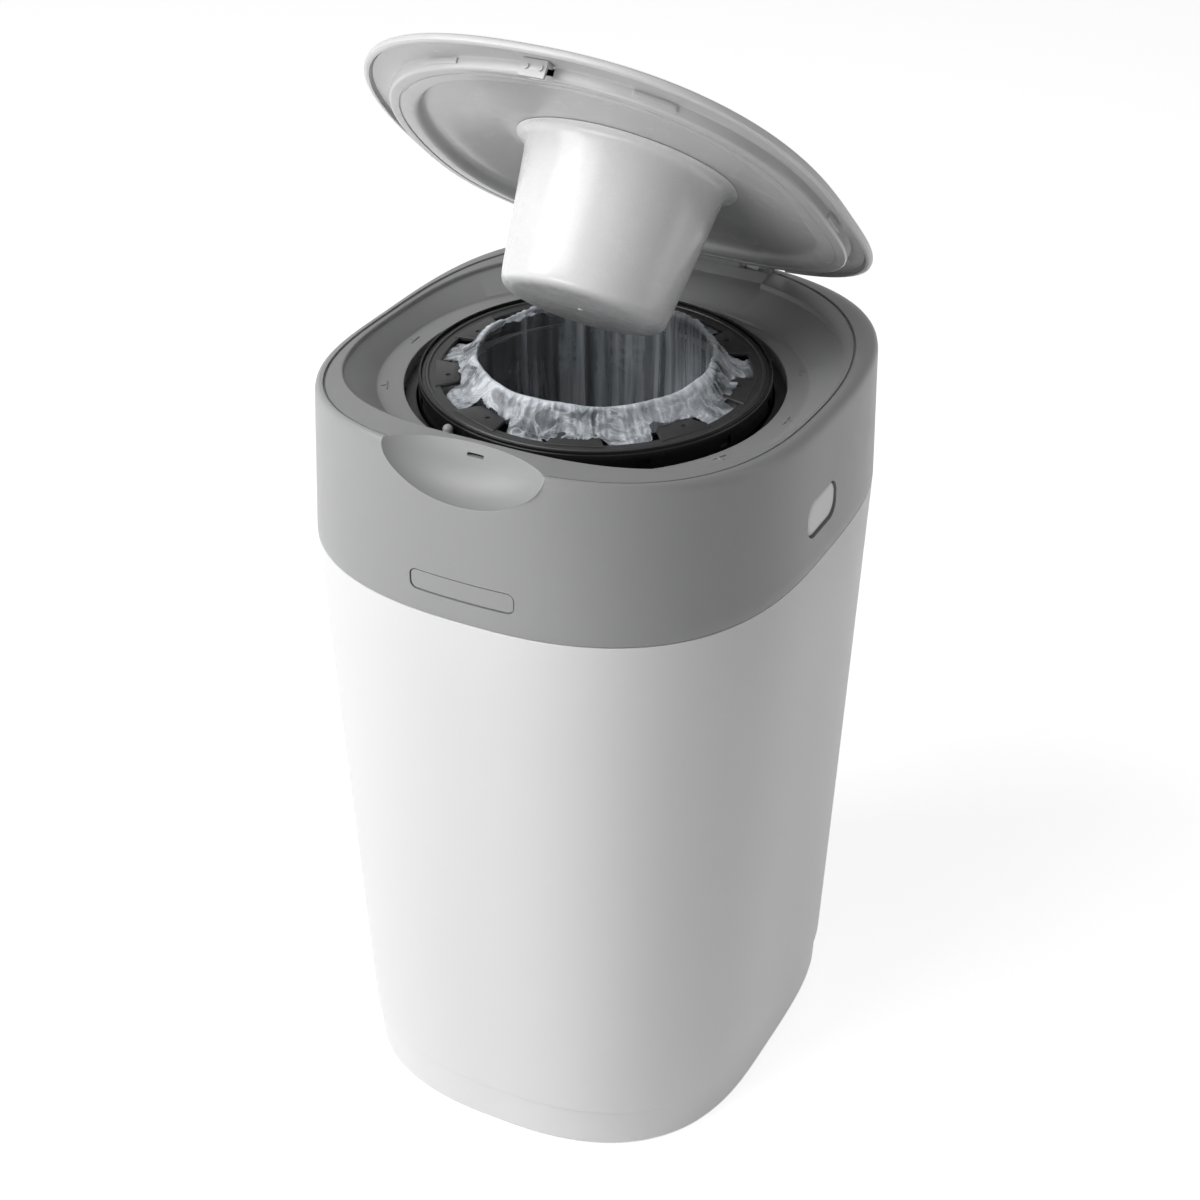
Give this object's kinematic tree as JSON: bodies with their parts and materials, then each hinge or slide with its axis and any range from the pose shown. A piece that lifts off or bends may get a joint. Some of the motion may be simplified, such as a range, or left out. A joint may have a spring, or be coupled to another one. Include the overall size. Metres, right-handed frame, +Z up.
{
  "type": "nappy bin",
  "caption": "Tall rounded-square nappy bin with a lift-off grey top unit, a film cassette, a cutter that slides round it and a rear-hinged lid with a twisting plunger cup.",
  "frame": {"origin": "on the floor under the middle of the body, at the centre of the bounding box's base", "axes": "+Z up, -Y towards the front with the finger scoop, +X to the right seen from the front"},
  "size_m": [0.2586, 0.28, 0.6014],
  "materials": {
    "tub_white": "satin moulded polypropylene",
    "tab_white": "satin",
    "housing_grey": "satin, finely spark-textured",
    "cradle_grey": "satin",
    "cassette_black": "semi-gloss",
    "cover_charcoal": "satin",
    "film": "thin wrinkled translucent plastic film",
    "knob_grey": "satin",
    "steel": "plain",
    "lid_grey": "satin",
    "liner_grey": "satin",
    "plunger_white": "smooth satin-gloss"
  },
  "bodies": {
    "tub": {"tub": "tub_white"},
    "tab_left": {"release_tab_left": "tab_white"},
    "tab_right": {"release_tab_right": "tab_white"},
    "top_unit": {"housing": "housing_grey", "cassette_cradle": "cradle_grey", "cassette_body": "cassette_black", "cassette_cover": "cover_charcoal", "film_pack": "film", "film_sleeve": "film", "hinge_pin_left": "steel", "hinge_pin_right": "steel"},
    "cutter": {"cutter_ring": "cradle_grey", "cutter_knob": "knob_grey", "cutter_blade": "steel"},
    "lid": {"lid_skin": "lid_grey", "lid_liner": "liner_grey", "front_catch": "liner_grey", "ratchet_ring": "tab_white"},
    "plunger": {"plunger_cup": "plunger_white", "grip_dial": "plunger_white", "retaining_ring": "steel", "click_springs": "steel"}
  },
  "joints": [
    {"name": "tab_left_press", "type": "hinge", "parent": "tub", "child": "tab_left", "pos_m": [-0.1224, 0, 0.3425], "axis": [0, 1, 0], "range_deg": [0, 6], "stiffness_Nm_per_rad": 2},
    {"name": "tab_right_press", "type": "hinge", "parent": "tub", "child": "tab_right", "pos_m": [0.1224, 0, 0.3425], "axis": [0, -1, 0], "range_deg": [0, 6], "stiffness_Nm_per_rad": 2},
    {"name": "housing_lift", "type": "slide", "parent": "tub", "child": "top_unit", "axis": [0, 0, 1], "range_m": [0, 0.15]},
    {"name": "cutter_slide", "type": "hinge", "parent": "top_unit", "child": "cutter", "pos_m": [0, 0, 0.3945], "axis": [0, 0, 1], "continuous": true},
    {"name": "lid_hinge", "type": "hinge", "parent": "top_unit", "child": "lid", "pos_m": [0, 0.13005, 0.4209], "axis": [-1, 0, 0], "range_deg": [-40.3, 37.5]},
    {"name": "plunger_twist", "type": "hinge", "parent": "lid", "child": "plunger", "pos_m": [0, 0.03384, 0.50852], "axis": [0, 0.6468, 0.7627], "continuous": true}
  ]
}
